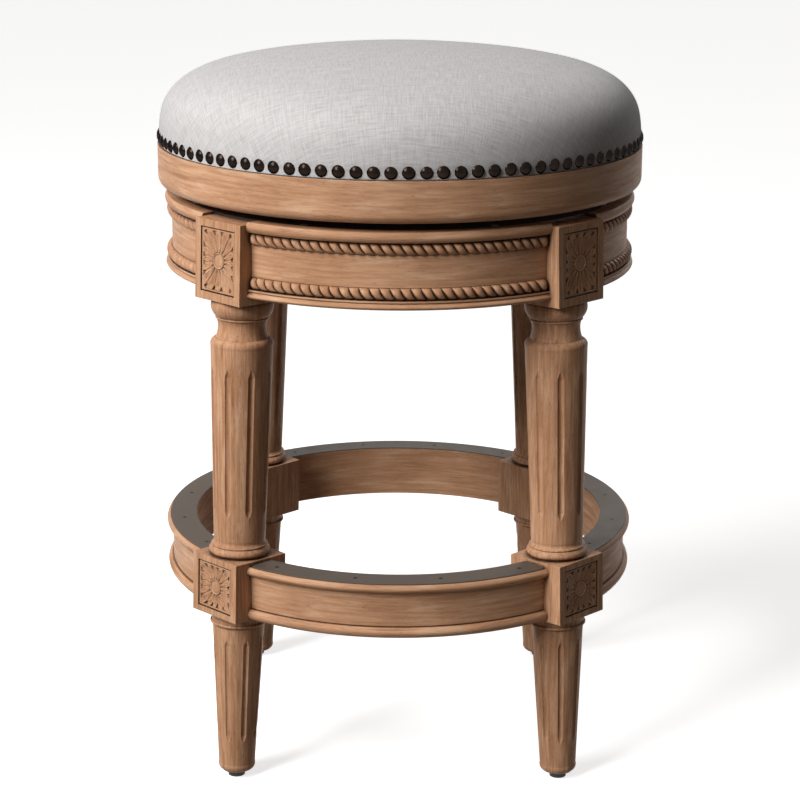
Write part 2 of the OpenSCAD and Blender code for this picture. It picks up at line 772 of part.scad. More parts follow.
module square_plate(z) {
  half = swivel_w / 2 - swivel_corner_r;
  translate([0, 0, z]) {
    translate([-half, -swivel_w / 2, 0]) cube([2 * half, swivel_w, swivel_t]);
    translate([-swivel_w / 2, -half, 0]) cube([swivel_w, 2 * half, swivel_t]);
    for (x = [-half, half], y = [-half, half])
      translate([x, y, 0]) cylinder(r = swivel_corner_r, h = swivel_t);
  }
}

// Half of the raised ball track, on a plate whose inner face is at z; up is 1 or -1
module race(z, up) {
  rise = swivel_h / 2 - swivel_t - cage_t / 2 - cage_t;
  difference() {
    translate([0, 0, up > 0 ? z - cut : z - rise]) difference() {
      cylinder(r = race_r + race_w / 2, h = rise + cut);
      translate([0, 0, -cut]) cylinder(r = race_r - race_w / 2, h = rise + 3 * cut);
    }
    translate([0, 0, ball_z]) rotate_extrude() translate([race_r, 0])
      circle(r = ball_d / 2 + ball_clear);
  }
}

module at_swivel_corners() {
  for (x = [-1, 1], y = [-1, 1])
    translate([x * swivel_screw_place, y * swivel_screw_place, 0]) children();
}

module lower_screw_set() {
  at_swivel_corners() translate([0, 0, panel_top_z + swivel_t])
    screw(screw_head_d, screw_d, swivel_screw_l, screw_head_h);
}

module upper_screw_set() {
  at_swivel_corners() translate([0, 0, board_z - swivel_t]) mirror([0, 0, 1])
    screw(screw_head_d, screw_d, swivel_screw_l, screw_head_h);
}

module swivel_lower_plate() {
  color(steel) difference() {
    union() {
      square_plate(panel_top_z);
      race(panel_top_z + swivel_t, 1);
    }
    translate([0, 0, panel_top_z - cut]) cylinder(d = hub_d, h = swivel_t + 2 * cut);
    lower_screw_set();
    access_hole();
  }
}

module swivel_upper_plate() {
  color(steel) difference() {
    union() {
      square_plate(board_z - swivel_t);
      race(board_z - swivel_t, -1);
    }
    translate([0, 0, board_z - swivel_t - cut])
      cylinder(r = hub_d / 2 + hub_clear, h = swivel_t + 2 * cut);
    upper_screw_set();
  }
}

module swivel_hub() {
  hub_h = swivel_h + hub_clear + hub_flange_t;
  color(steel) translate([0, 0, panel_top_z]) difference() {
    union() {
      cylinder(d = hub_d, h = hub_h);
      translate([0, 0, swivel_t]) cylinder(d = hub_d + 2 * hub_flange_w, h = hub_flange_t);
      translate([0, 0, hub_h - hub_flange_t])
        cylinder(d = hub_d + 2 * hub_flange_w, h = hub_flange_t);
    }
    translate([0, 0, -cut]) cylinder(d = hub_bore_d, h = hub_h + 2 * cut);
  }
}

module lower_plate_screws() { color(steel) lower_screw_set(); }
module upper_plate_screws() { color(steel) upper_screw_set(); }

module ball_cage() {
  color(steel) translate([0, 0, ball_z - cage_t / 2]) difference() {
    cylinder(r = race_r + cage_w / 2, h = cage_t);
    translate([0, 0, -cut]) cylinder(r = race_r - cage_w / 2, h = cage_t + 2 * cut);
    for (i = [0 : ball_count - 1]) rotate([0, 0, i * 360 / ball_count])
      translate([race_r, 0, -cut])
        cylinder(r = ball_d / 2 + ball_clear, h = cage_t + 2 * cut);
  }
}

module swivel_balls() {
  color(steel) for (i = [0 : ball_count - 1]) rotate([0, 0, i * 360 / ball_count])
    translate([race_r, 0, ball_z]) sphere(d = ball_d);
}

// The glide's nail: its head lies in the middle of the glide's thickness
module glide_nail_at(turn) {
  rotate([0, 0, turn]) translate([leg_foot_r, 0, glide_h / 3]) {
    cylinder(d = glide_head_d, h = glide_h / 3);
    cylinder(d = glide_nail_d, h = glide_nail_l);
  }
}

module glide_nails() {
  color(steel) for (turn = leg_turns) glide_nail_at(turn);
}

module glides() {
  color(nylon) for (turn = leg_turns) difference() {
    rotate([0, 0, turn]) translate([leg_foot_r, 0, 0]) cylinder(d = glide_d, h = glide_h);
    glide_nail_at(turn);
  }
}

module seat_frame() {
  edge = frame_edge_r;
  color(wood) difference() {
    rotate_extrude() polygon(concat(
      [[seat_r - frame_w, seat_z], [seat_r - edge, seat_z]],
      [for (a = [-75 : 15 : 0]) [seat_r - edge + edge * cos(a), seat_z + edge + edge * sin(a)]],
      [[seat_r, fabric_z], [rebate_r, fabric_z], [rebate_r, frame_top_z],
        [board_r, frame_top_z], [board_r, board_z], [seat_r - frame_w, board_z]]
    ));
    board_screw_set();
  }
}

module board_screw_set() {
  for (i = [0 : board_screw_count - 1]) rotate([0, 0, i * 360 / board_screw_count])
    translate([board_screw_r, 0, seat_z])
    mirror([0, 0, 1]) screw(screw_head_d, screw_d, board_screw_l, screw_head_h);
}

module seat_board_screws() { color(steel) board_screw_set(); }

module seat_board() {
  color(ply) difference() {
    translate([0, 0, board_z]) cylinder(r = board_r - board_clear, h = board_t);
    translate([0, 0, board_z - cut])
      cylinder(d = hub_d + 4 * hub_flange_w, h = board_t + 2 * cut);
    upper_screw_set();
    board_screw_set();
  }
}

module seat_foam() {
  inset = cover_t + soft_gap;
  foot_z = board_z + board_t;
  wall_r = board_r - soft_gap;
  color(foam) difference() {
    rotate_extrude() polygon(concat(crown_outline(inset), [[cover_r - inset, foot_z], [0, foot_z]]));
    translate([0, 0, foot_z - cut]) difference() {
      cylinder(r = cover_r + cut, h = frame_top_z + soft_gap - foot_z + cut);
      translate([0, 0, -cut]) cylinder(r = wall_r, h = seat_d);
    }
  }
}

module seat_cover() {
  hem_z = fabric_z + soft_gap;
  inner = crown_outline(cover_t);
  color(linen) rotate_extrude() polygon(concat(
    crown_outline(0), [[cover_r, hem_z], [cover_r - cover_t, hem_z]],
    [for (i = [len(inner) - 1 : -1 : 0]) inner[i]]
  ));
}

module nail() {
  ball_r = (pow(nail_head_d / 2, 2) + pow(nail_head_h, 2)) / (2 * nail_head_h);
  intersection() {
    translate([0, 0, nail_head_h - ball_r]) sphere(r = ball_r, $fn = 32);
    cylinder(d = nail_head_d, h = nail_head_h + cut);
  }
  translate([0, 0, -nail_shank_l]) cylinder(d = nail_shank_d, h = nail_shank_l + cut);
}

module nail_heads() {
  color(nail_metal) for (i = [0 : nail_count - 1]) rotate([0, 0, i * 360 / nail_count])
    translate([cover_r, 0, nail_z]) rotate([0, 90, 0]) nail();
}

leg(leg_turns[0], flute_turn_list[0]);  // leg_front_left
leg(leg_turns[1], flute_turn_list[1]);  // leg_front_right
leg(leg_turns[2], flute_turn_list[2]);  // leg_back_right
leg(leg_turns[3], flute_turn_list[3]);  // leg_back_left
apron_rail(side_turns[0]);  // apron_rail_front
apron_rail(side_turns[1]);  // apron_rail_right
apron_rail(side_turns[2]);  // apron_rail_back
apron_rail(side_turns[3]);  // apron_rail_left
rope_moulding(side_turns[0]);  // rope_moulding_front
rope_moulding(side_turns[1]);  // rope_moulding_right
rope_moulding(side_turns[2]);  // rope_moulding_back
rope_moulding(side_turns[3]);  // rope_moulding_left
foot_rail(side_turns[0]);  // foot_rail_front
foot_rail(side_turns[1]);  // foot_rail_right
foot_rail(side_turns[2]);  // foot_rail_back
foot_rail(side_turns[3]);  // foot_rail_left
foot_plate(side_turns[0]);  // foot_plate_front
foot_plate(side_turns[1]);  // foot_plate_right
foot_plate(side_turns[2]);  // foot_plate_back
foot_plate(side_turns[3]);  // foot_plate_left
foot_plate_screws();
apron_rosettes();
foot_rosettes();
apron_dowels();
foot_rail_dowels();
base_panel();
base_panel_screws();
swivel_lower_plate();
lower_plate_screws();
swivel_hub();
glides();
glide_nails();
ball_cage();
swivel_balls();
swivel_upper_plate();
upper_plate_screws();
seat_frame();
seat_board();
seat_board_screws();
seat_foam();
seat_cover();
nail_heads();
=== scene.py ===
import math

import bmesh
import bpy
import numpy as np
from mathutils import Matrix


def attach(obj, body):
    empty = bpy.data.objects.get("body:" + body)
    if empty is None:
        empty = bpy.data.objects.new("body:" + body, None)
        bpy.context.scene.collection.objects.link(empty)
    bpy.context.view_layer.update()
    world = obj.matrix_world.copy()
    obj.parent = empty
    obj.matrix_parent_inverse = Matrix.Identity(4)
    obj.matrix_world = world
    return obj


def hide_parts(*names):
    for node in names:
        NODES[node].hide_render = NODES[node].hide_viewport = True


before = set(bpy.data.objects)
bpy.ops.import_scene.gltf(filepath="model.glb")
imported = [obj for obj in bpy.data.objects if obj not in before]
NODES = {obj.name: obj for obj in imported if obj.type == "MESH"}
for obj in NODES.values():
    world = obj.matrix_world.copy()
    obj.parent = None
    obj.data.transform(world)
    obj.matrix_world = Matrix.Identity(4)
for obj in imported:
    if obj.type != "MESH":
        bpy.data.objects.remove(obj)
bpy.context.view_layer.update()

# Metres, +Z up, the front towards -Y. Sizes that part.scad also names are repeated here.
MM = 0.001
DRAWS = np.random.default_rng(7)

LEG_TURNS = (-135, -45, 45, 135)
SIDES = {"front": -90, "right": 0, "back": 90, "left": 180}
LEG_FOOT_R = 221.871 * MM
LEG_SPLAY = 2.0
BLOCK_HALF = 31 * MM
APRON_BLOCK_MID = 511.75 * MM
FOOT_BLOCK_MID = 198.25 * MM
ROPE_BACK_R = 221.4 * MM
ROPE_H = 11.4 * MM
ROPE_GROOVE = 1.2 * MM
ROPE_BEADS = 31
ROPE_END_GAP = 0.3 * MM
COVER_R = 232.6 * MM
NAIL_Z = 606.3 * MM
HEM_Z = 599.5 * MM
FRAME_TOP_Z = 611.2 * MM
BOARD_TOP_Z = 584.8 * MM
NAIL_COUNT = 94


def rgb(red, green, blue):
    """A colour written as 0 to 255 on a screen, as the linear values that shaders take."""
    def linear(c):
        c /= 255
        return c / 12.92 if c <= 0.04045 else ((c + 0.055) / 1.055) ** 2.4
    return (linear(red), linear(green), linear(blue), 1.0)


# ---------------------------------------------------------------- materials
RECESS_SAMPLES = 6
FINE_BUMP = 0.1 * MM


class Shader:
    """A material, or the world, with short calls for its nodes."""

    def __init__(self, name, world=None):
        owner = world or bpy.data.materials.new(name)
        owner.use_nodes = True
        self.owner, self.tree = owner, owner.node_tree
        self.tree.nodes.clear()

    def node(self, kind, inputs=(), **settings):
        made = self.tree.nodes.new(kind)
        for key, value in settings.items():
            setattr(made, key, value)
        for key, value in dict(inputs).items():
            if isinstance(value, bpy.types.NodeSocket):
                self.tree.links.new(value, made.inputs[key])
            else:
                made.inputs[key].default_value = value
        return made

    def math(self, operation, a, b=0.0, c=0.0):
        return self.node("ShaderNodeMath", {0: a, 1: b, 2: c}, operation=operation).outputs[0]

    def mix(self, share, a, b):
        return self.node("ShaderNodeMix", {0: share, 6: a, 7: b}, data_type="RGBA").outputs[2]

    def span(self, value, low, high, to_low=0.0, to_high=1.0):
        """A smooth step of value from low to high."""
        return self.node("ShaderNodeMapRange", {0: value, 1: low, 2: high, 3: to_low, 4: to_high},
                         interpolation_type="SMOOTHSTEP").outputs[0]

    def noise(self, vector, w=0.0, detail=3.0, roughness=0.55):
        return self.node("ShaderNodeTexNoise", {"Vector": vector, "W": w, "Scale": 1.0,
                         "Detail": detail, "Roughness": roughness},
                         noise_dimensions="4D").outputs[0]

    def place(self):
        """Position at rest, as its three values and its distance from the swivel's axis."""
        spot = self.node("ShaderNodeTexCoord").outputs["Object"]
        x, y, z = self.node("ShaderNodeSeparateXYZ", {0: spot}).outputs
        squares = self.math("ADD", self.math("MULTIPLY", x, x), self.math("MULTIPLY", y, y))
        return x, y, z, self.math("SQRT", squares)

    def vector(self, *values):
        return self.node("ShaderNodeCombineXYZ", dict(enumerate(values))).outputs[0]

    def scaled(self, value, size):
        return self.math("DIVIDE", value, size)

    def cells(self, x, y, z, size):
        """A position counted in cells of one size, for a noise with no direction."""
        return self.vector(self.scaled(x, size), self.scaled(y, size), self.scaled(z, size))

    def recess(self, reach, inside=False):
        """1 in the open and towards 0 in a recess, or near a piece's own edge from inside."""
        return self.node("ShaderNodeAmbientOcclusion", {"Distance": reach},
                         samples=RECESS_SAMPLES,
                         inside=inside, only_local=inside).outputs["AO"]

    def finish(self, surface):
        self.node("ShaderNodeOutputMaterial", {"Surface": surface})
        return self.owner


# The marks of the grain: the width of one, and its length in widths
STREAK = (3.0 * MM, 20)
FIBRE = (0.8 * MM, 26)
PORE = (0.6 * MM, 10)
DENT = (1.1 * MM, 5)
BRUSHED = (6 * MM, 8)
PATCH_SIZE = 58 * MM
MOTTLE_SIZE = 9 * MM
GRIT_SIZE = 0.9 * MM
# Dark glaze and painted shade in recesses: how far the recess test reaches, and how strong the
# darkening is.
GLAZE_SHADE_REACH = 8 * MM
GLAZE_SHADE_LEVEL = 0.9
RUB_REACH = 2.2 * MM
RUB_LEVEL = 0.8
WOOD_ROUGHNESS = 0.46
WOOD_BUMP = 0.14 * MM


def wood(name, upright, light, dark, edge=0.7 * MM, figure=1.0, grit=0.0, glaze_shade_from=0.20,
         glaze_shade_to=0.60):
    """Stained wood with grain along the turnings or round the rings, pores and rubbed edges.

    The dark glaze, which also paints shade into recesses, starts at the first recess depth share
    and is full at the second.
    """
    s = Shader(name)
    x, y, z, r = s.place()

    def grain(width, stretch, seed, detail):
        fine, long = width, width * stretch
        if upright:
            vector = s.vector(s.scaled(x, fine), s.scaled(y, fine), s.scaled(z, long))
            return s.noise(vector, seed, detail)
        vector = s.vector(s.scaled(x, long), s.scaled(y, long), s.scaled(z, fine))
        return s.noise(vector, s.math("ADD", s.scaled(r, fine), seed), detail)

    streak = grain(*STREAK, 1.0, 4.0)
    fibre = grain(*FIBRE, 4.0, 2.0)
    pores = s.span(grain(*PORE, 8.0, 1.5), 0.585, 0.68)
    dents = s.span(grain(*DENT, 15.0, 1.0), 0.64, 0.72)
    brushed = grain(*BRUSHED, 21.0, 4.0)
    patch = s.noise(s.cells(x, y, z, PATCH_SIZE), 2.0, 2.0)
    mottle = s.noise(s.cells(x, y, z, MOTTLE_SIZE), 6.0, 4.0, 0.65)
    pores = s.math("MULTIPLY", pores, s.span(patch, 0.32, 0.60, 0.3, 1.0))
    dents = s.math("MULTIPLY", dents, s.span(mottle, 0.50, 0.62))

    colour = s.mix(s.math("MULTIPLY", s.span(streak, 0.32, 0.68), figure), light, dark)
    colour = s.mix(s.math("MULTIPLY", s.span(fibre, 0.44, 0.66), 0.55 * figure), colour, dark)
    colour = s.mix(s.math("MULTIPLY", s.span(patch, 0.38, 0.66), 0.35), colour, dark)
    colour = s.mix(s.math("MULTIPLY", s.span(brushed, 0.52, 0.70), 0.32), colour, WOOD_RUB)
    colour = s.mix(s.math("MULTIPLY", s.span(brushed, 0.46, 0.30), 0.28), colour, WOOD_PORE)
    colour = s.mix(s.math("MULTIPLY", pores, 0.50 * figure), colour, WOOD_PORE)
    colour = s.mix(s.math("MULTIPLY", dents, 0.55 * figure), colour, WOOD_GLAZE_AND_SHADE)

    # Painted shade and dark glaze: the glaze colour darkens recesses and gaps found by ambient
    # occlusion, where shade falls.
    hollow = s.math("SUBTRACT", 1.0, s.recess(GLAZE_SHADE_REACH))
    glaze_and_shade = s.math("MULTIPLY", s.span(hollow, glaze_shade_from, glaze_shade_to),
                  s.span(mottle, 0.25, 0.55, 0.7, 1.0))
    colour = s.mix(s.math("MULTIPLY", glaze_and_shade, GLAZE_SHADE_LEVEL), colour, WOOD_GLAZE_AND_SHADE)
    crest = s.math("SUBTRACT", 1.0, s.recess(RUB_REACH, inside=True))
    worn = s.math("MULTIPLY", s.span(crest, 0.44, 0.72), s.span(mottle, 0.34, 0.55))
    colour = s.mix(s.math("MULTIPLY", worn, RUB_LEVEL), colour, WOOD_RUB)

    rough = s.span(streak, 0.2, 0.8, WOOD_ROUGHNESS - 0.06, WOOD_ROUGHNESS + 0.10)
    rough = s.math("ADD", rough, s.math("MULTIPLY", pores, 0.15))
    height = s.math("SUBTRACT", s.math("MULTIPLY", fibre, 0.5 * figure),
                    s.math("ADD", pores, s.math("MULTIPLY", dents, 1.6)))
    if grit:
        grains = s.noise(s.cells(x, y, z, GRIT_SIZE), 12.0, 2.0)
        height = s.math("ADD", height, s.math("MULTIPLY", grains, grit))
    soft_edge = s.node("ShaderNodeBevel", {"Radius": edge}, samples=6).outputs[0]
    bump = s.node("ShaderNodeBump", {"Strength": 0.5, "Distance": WOOD_BUMP, "Height": height,
                                     "Normal": soft_edge}).outputs[0]
    surface = s.node("ShaderNodeBsdfPrincipled", {
        "Base Color": colour, "Roughness": rough, "Normal": bump,
        "Specular IOR Level": 0.12}).outputs[0]
    return s.finish(surface)


PLAIN_STREAK = (60 * MM, 3 * MM, 1.4 * MM)
PLAIN_FLECK = (9 * MM, 0.8 * MM, 0.8 * MM)


def plain_wood(name, light, dark):
    """Bare wood and plywood that shows only from below."""
    s = Shader(name)
    spot = s.place()[:3]
    streak = s.noise(s.vector(*map(s.scaled, spot, PLAIN_STREAK)), 3.0, 4.0)
    fleck = s.noise(s.vector(*map(s.scaled, spot, PLAIN_FLECK)), 5.0, 2.0)
    colour = s.mix(s.span(streak, 0.3, 0.7), light, dark)
    colour = s.mix(s.math("MULTIPLY", s.span(fleck, 0.58, 0.72), 0.4), colour, dark)
    bump = s.node("ShaderNodeBump", {"Strength": 0.4, "Distance": FINE_BUMP,
                                     "Height": fleck}).outputs[0]
    surface = s.node("ShaderNodeBsdfPrincipled", {
        "Base Color": colour, "Roughness": s.span(streak, 0.2, 0.8, 0.55, 0.72),
        "Normal": bump}).outputs[0]
    return s.finish(surface)


PATINA_SIZE = 12 * MM
SPECK_SIZE = 0.5 * MM
METAL_EDGE = 0.3 * MM
METAL_BUMP = 0.06 * MM
WEAR_REACH = 0.8 * MM
WEAR_LEVEL = 0.5


def metal(name, base, worn, metallic, rough, lacquer=0.0, rim=(1, 1, 1, 1)):
    """Metal with a fine speckle, a cloudy patina and brighter edges; rim tints grazing light."""
    s = Shader(name)
    x, y, z, _ = s.place()
    cloud = s.noise(s.cells(x, y, z, PATINA_SIZE), 1.0, 4.0, 0.6)
    fine = s.noise(s.cells(x, y, z, SPECK_SIZE), 2.0, 2.0)
    crest = s.math("SUBTRACT", 1.0, s.recess(WEAR_REACH, inside=True))
    wear = s.math("MULTIPLY", s.span(crest, 0.55, 0.85), WEAR_LEVEL)
    tone = s.mix(s.math("MULTIPLY", s.span(cloud, 0.3, 0.7), 0.5), base, worn)
    tone = s.mix(s.math("MULTIPLY", s.span(fine, 0.35, 0.75), 0.22), tone, worn)
    tone = s.mix(wear, tone, worn)
    roughness = s.math("ADD", s.span(cloud, 0.25, 0.75, rough - 0.07, rough + 0.07),
                       s.math("MULTIPLY", fine, 0.06))
    soft_edge = s.node("ShaderNodeBevel", {"Radius": METAL_EDGE}, samples=4).outputs[0]
    bump = s.node("ShaderNodeBump", {"Strength": 0.25, "Distance": METAL_BUMP, "Height": fine,
                                     "Normal": soft_edge}).outputs[0]
    surface = s.node("ShaderNodeBsdfPrincipled", {
        "Base Color": tone, "Metallic": metallic, "Roughness": roughness, "Normal": bump,
        "Specular Tint": rim, "Coat Weight": lacquer, "Coat Roughness": 0.16}).outputs[0]
    return s.finish(surface)


NYLON_GRIT = 0.7 * MM


def nylon(name):
    """Black moulded nylon with a fine matt grit."""
    s = Shader(name)
    x, y, z, _ = s.place()
    grit = s.noise(s.cells(x, y, z, NYLON_GRIT), 3.0, 3.0)
    colour = s.mix(s.span(grit, 0.3, 0.7), rgb(22, 21, 20), rgb(38, 36, 34))
    bump = s.node("ShaderNodeBump", {"Strength": 0.4, "Distance": FINE_BUMP,
                                     "Height": grit}).outputs[0]
    surface = s.node("ShaderNodeBsdfPrincipled", {
        "Base Color": colour, "Roughness": s.span(grit, 0.2, 0.8, 0.5, 0.7),
        "Normal": bump}).outputs[0]
    return s.finish(surface)


THREAD_PITCH = 1.15 * MM
WEAVE_DRIFT_SIZE = 14 * MM
WEAVE_DRIFT = 1.2 * MM
HEATHER_SIZE = 2.4 * MM
WEAVE_BUMP = 0.42 * MM
# Slubs, thick places in the threads: the width of one, and its length in widths
SLUB_UP, SLUB_ACROSS = (1.3 * MM, 16), (1.5 * MM, 14)
WIDE_UP, WIDE_ACROSS = (3.0 * MM, 20), (3.2 * MM, 18)


def linen(name, light, dark):
    """Plain-woven linen: two crossing thread systems with slubs, drawn on the cloth's own plan."""
    s = Shader(name)
    plan = s.node("ShaderNodeAttribute", attribute_name="cloth_plan").outputs["Vector"]
    u, v, _ = s.node("ShaderNodeSeparateXYZ", {0: plan}).outputs
    drift = s.noise(s.vector(s.scaled(u, WEAVE_DRIFT_SIZE), s.scaled(v, WEAVE_DRIFT_SIZE), 0.0),
                    9.0, 2.0)
    sway = s.math("MULTIPLY", s.math("SUBTRACT", drift, 0.5), WEAVE_DRIFT)
    u, v = s.math("ADD", u, sway), s.math("SUBTRACT", v, sway)

    def thread(value):
        turn = s.math("MULTIPLY", value, 2 * math.pi / THREAD_PITCH)
        return s.math("MULTIPLY_ADD", s.math("COSINE", turn), 0.5, 0.5)

    def half_turn(value):
        return s.math("COSINE", s.math("MULTIPLY", value, math.pi / THREAD_PITCH))

    over = s.span(s.math("MULTIPLY", half_turn(u), half_turn(v)), -0.5, 0.5)
    warp, weft = thread(u), thread(v)
    woven = s.math("ADD", s.math("MULTIPLY", warp, over),
                   s.math("MULTIPLY", weft, s.math("SUBTRACT", 1.0, over)))

    def slub(across, along, width, stretch, seed):
        vector = s.vector(s.scaled(across, width), s.scaled(along, width * stretch), 0.0)
        return s.noise(vector, seed, 2.0, 0.6)

    slub_up = slub(u, v, *SLUB_UP, 3.0)
    slub_across = slub(v, u, *SLUB_ACROSS, 5.0)
    wide_up = slub(u, v, *WIDE_UP, 11.0)
    wide_across = slub(v, u, *WIDE_ACROSS, 13.0)
    heather = s.noise(s.vector(s.scaled(u, HEATHER_SIZE), s.scaled(v, HEATHER_SIZE), 0.0),
                      7.0, 3.0, 0.7)

    tone = s.math("MULTIPLY", s.math("ADD", slub_up, slub_across), 0.5)
    wide = s.math("MULTIPLY", s.math("ADD", wide_up, wide_across), 0.5)
    colour = s.mix(s.span(tone, 0.36, 0.64), dark, light)
    colour = s.mix(s.math("MULTIPLY", s.span(wide, 0.40, 0.60), 0.30), colour, light)
    colour = s.mix(s.math("MULTIPLY", s.span(heather, 0.35, 0.65), 0.30), colour, light)
    colour = s.mix(s.math("MULTIPLY", s.math("SUBTRACT", 1.0, woven), 0.30), colour, dark)

    thickness = s.math("ADD", s.math("MULTIPLY", woven, 0.7), s.math("MULTIPLY", tone, 0.9))
    bump = s.node("ShaderNodeBump", {"Strength": 0.55, "Distance": WEAVE_BUMP,
                                     "Height": thickness}).outputs[0]
    surface = s.node("ShaderNodeBsdfPrincipled", {
        "Base Color": colour, "Roughness": s.span(tone, 0.2, 0.8, 0.82, 0.95), "Normal": bump,
        "Specular IOR Level": 0.2, "Sheen Weight": 0.12, "Sheen Roughness": 0.55}).outputs[0]
    return s.finish(surface)


WOOD_LIGHT, WOOD_DARK = rgb(204, 159, 125), rgb(160, 113, 80)
# The darkest brown marks dents and is also the painted shade laid into recesses.
WOOD_PORE, WOOD_GLAZE_AND_SHADE, WOOD_RUB = rgb(92, 58, 38), rgb(46, 26, 15), rgb(228, 194, 162)
wood_legs = wood("stained_wood_upright", True, WOOD_LIGHT, WOOD_DARK, figure=0.8)
wood_rings = wood("stained_wood_round", False, WOOD_LIGHT, WOOD_DARK, figure=0.6)
# The carved wood starts its glaze and painted shade at shallower recesses, so its valleys darken
# more.
wood_carved = wood("carved_wood", True, rgb(190, 145, 112), rgb(164, 118, 87), edge=0.15 * MM,
                   figure=0.5, grit=1.6, glaze_shade_from=0.12, glaze_shade_to=0.46)
wood_bare = plain_wood("plain_wood", rgb(214, 188, 146), rgb(186, 154, 108))
# The base panel is stained near black-brown, a colour that also stands in as painted shade where
# it shows above the blocks.
panel_dark_as_shade = plain_wood("stained_panel_as_shade", rgb(58, 38, 26), rgb(40, 26, 18))
tread_metal = metal("tread_metal", rgb(74, 63, 53), rgb(98, 85, 73), 0.2, 0.58)
bronze = metal("dark_bronze", rgb(20, 14, 11), rgb(46, 35, 28), 0.9, 0.22, lacquer=0.06,
               rim=(0.16, 0.13, 0.11, 1))
screw_metal = metal("dark_screw", rgb(30, 26, 23), rgb(58, 50, 44), 0.7, 0.45)
zinc = metal("zinc_steel", rgb(190, 192, 194), rgb(212, 213, 214), 1.0, 0.34)
black_nylon = nylon("black_nylon")
cloth = linen("linen", rgb(206, 203, 202), rgb(166, 163, 162))

# The longest start that fits a node's name gives its material.
NODE_MATERIALS = {
    "leg_": wood_legs, "apron_rail_": wood_rings, "foot_rail_": wood_rings,
    "seat_frame": wood_rings, "foot_plate_": tread_metal, "glides": black_nylon,
    "base_panel": panel_dark_as_shade, "seat_board": wood_bare, "apron_dowels": wood_bare,
    "foot_rail_dowels": wood_bare, "swivel_": zinc, "ball_cage": zinc, "glide_nails": zinc,
    "base_panel_screws": zinc, "lower_plate_screws": zinc, "upper_plate_screws": zinc,
    "seat_board_screws": zinc,
}
for name, obj in NODES.items():
    found = [key for key in NODE_MATERIALS if name.startswith(key)]
    if found:
        obj.data.materials.clear()
        obj.data.materials.append(NODE_MATERIALS[max(found, key=len)])


# ---------------------------------------------------------------- meshes
def add_mesh(name, points, faces, material, smooth=True):
    """A new piece with its faces turned outwards."""
    mesh = bpy.data.meshes.new(name)
    mesh.from_pydata([tuple(p) for p in points], [], [tuple(f) for f in faces])
    made = bmesh.new()
    made.from_mesh(mesh)
    bmesh.ops.recalc_face_normals(made, faces=made.faces)
    made.to_mesh(mesh)
    made.free()
    mesh.materials.append(material)
    mesh.polygons.foreach_set("use_smooth", [smooth] * len(mesh.polygons))
    mesh.update()
    obj = bpy.data.objects.new(name, mesh)
    bpy.context.scene.collection.objects.link(obj)
    return obj


def merged(parts):
    """Several (points, faces) as one."""
    points, faces, start = [], [], 0
    for some_points, some_faces in parts:
        points.extend(some_points)
        faces.extend([tuple(i + start for i in face) for face in some_faces])
        start += len(some_points)
    return points, faces


def moved(part, matrix):
    """The same (points, faces) at another place."""
    points, faces = part
    turn, shift = np.array(matrix)[:3, :3], np.array(matrix)[:3, 3]
    return list(np.asarray(points) @ turn.T + shift), faces


def turned(degrees):
    return Matrix.Rotation(math.radians(degrees), 4, "Z")


def grid_faces(rows, columns, closed=False):
    """Quads of a grid of points stored row by row; closed joins each row's end to its start."""
    last = columns if closed else columns - 1
    return [(i * columns + j, i * columns + (j + 1) % columns,
             (i + 1) * columns + (j + 1) % columns, (i + 1) * columns + j)
            for i in range(rows - 1) for j in range(last)]


# Rope mouldings: leaf-like beads with S-shaped grooves between them
BEAD_SHARES = (0.0, 0.03, 0.075, 0.14, 0.24, 0.38, 0.52, 0.66, 0.78, 0.87, 0.935, 0.975)
ROPE_ROWS = 17
ROPE_LEAN = 7.2 * MM
ROPE_LEAN_POWER = 1.5
ROPE_GROOVE_SHARE = 0.16
ROPE_NECK_SHARE = 0.93
BEAD_TURN_POWER = 0.8
BEAD_ROUND_POWER = 0.5
ROPE_CLEAR = 0.05 * MM
ROPE_STRIPS = ((530.4 * MM, 4.6 * MM), (489.5 * MM, 5.4 * MM))


def rope_strip(foot_z, proud):
    """One closed strip in a bay that faces +X; proud is how far it stands out of the band."""
    depth = ROPE_GROOVE + proud
    half = math.pi / 4 - math.asin((BLOCK_HALF + ROPE_END_GAP) / ROPE_BACK_R)
    step = 2 * half / ROPE_BEADS
    places = [bead + share for bead in range(ROPE_BEADS) for share in BEAD_SHARES]
    places.append(float(ROPE_BEADS))
    points = []
    for place in places:
        share = place % 1.0
        rise = share ** BEAD_TURN_POWER
        hump = (4 * rise * (1 - rise)) ** BEAD_ROUND_POWER
        ease = min(1.0, place, ROPE_BEADS - place)
        for row in range(ROPE_ROWS):
            phi = math.pi * (0.5 - row / (ROPE_ROWS - 1))
            down = ((1 - math.sin(phi)) / 2) ** ROPE_LEAN_POWER
            angle = place * step - half + ease * ROPE_LEAN * (down - 0.5) / ROPE_BACK_R
            angle = max(-half, min(half, angle))
            out = depth * math.cos(phi) * (ROPE_GROOVE_SHARE + (1 - ROPE_GROOVE_SHARE) * hump)
            tall = ROPE_NECK_SHARE + (1 - ROPE_NECK_SHARE) * hump
            radius = ROPE_BACK_R + out + ROPE_CLEAR
            points.append((radius * math.cos(angle), radius * math.sin(angle),
                           foot_z + ROPE_H / 2 * (1 + math.sin(phi) * tall)))
    columns = len(places)
    faces = grid_faces(columns, ROPE_ROWS, closed=True)
    faces.append(tuple(range(ROPE_ROWS)))
    faces.append(tuple((columns - 1) * ROPE_ROWS + row for row in range(ROPE_ROWS)))
    return points, faces


def rope_mouldings():
    strips = [rope_strip(foot_z, proud) for foot_z, proud in ROPE_STRIPS]
    for side, turn in SIDES.items():
        points, faces = moved(merged(strips), turned(turn))
        piece = add_mesh("carved_rope_" + side, points, faces, wood_carved)
        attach(piece, "base")
        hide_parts("rope_moulding_" + side)


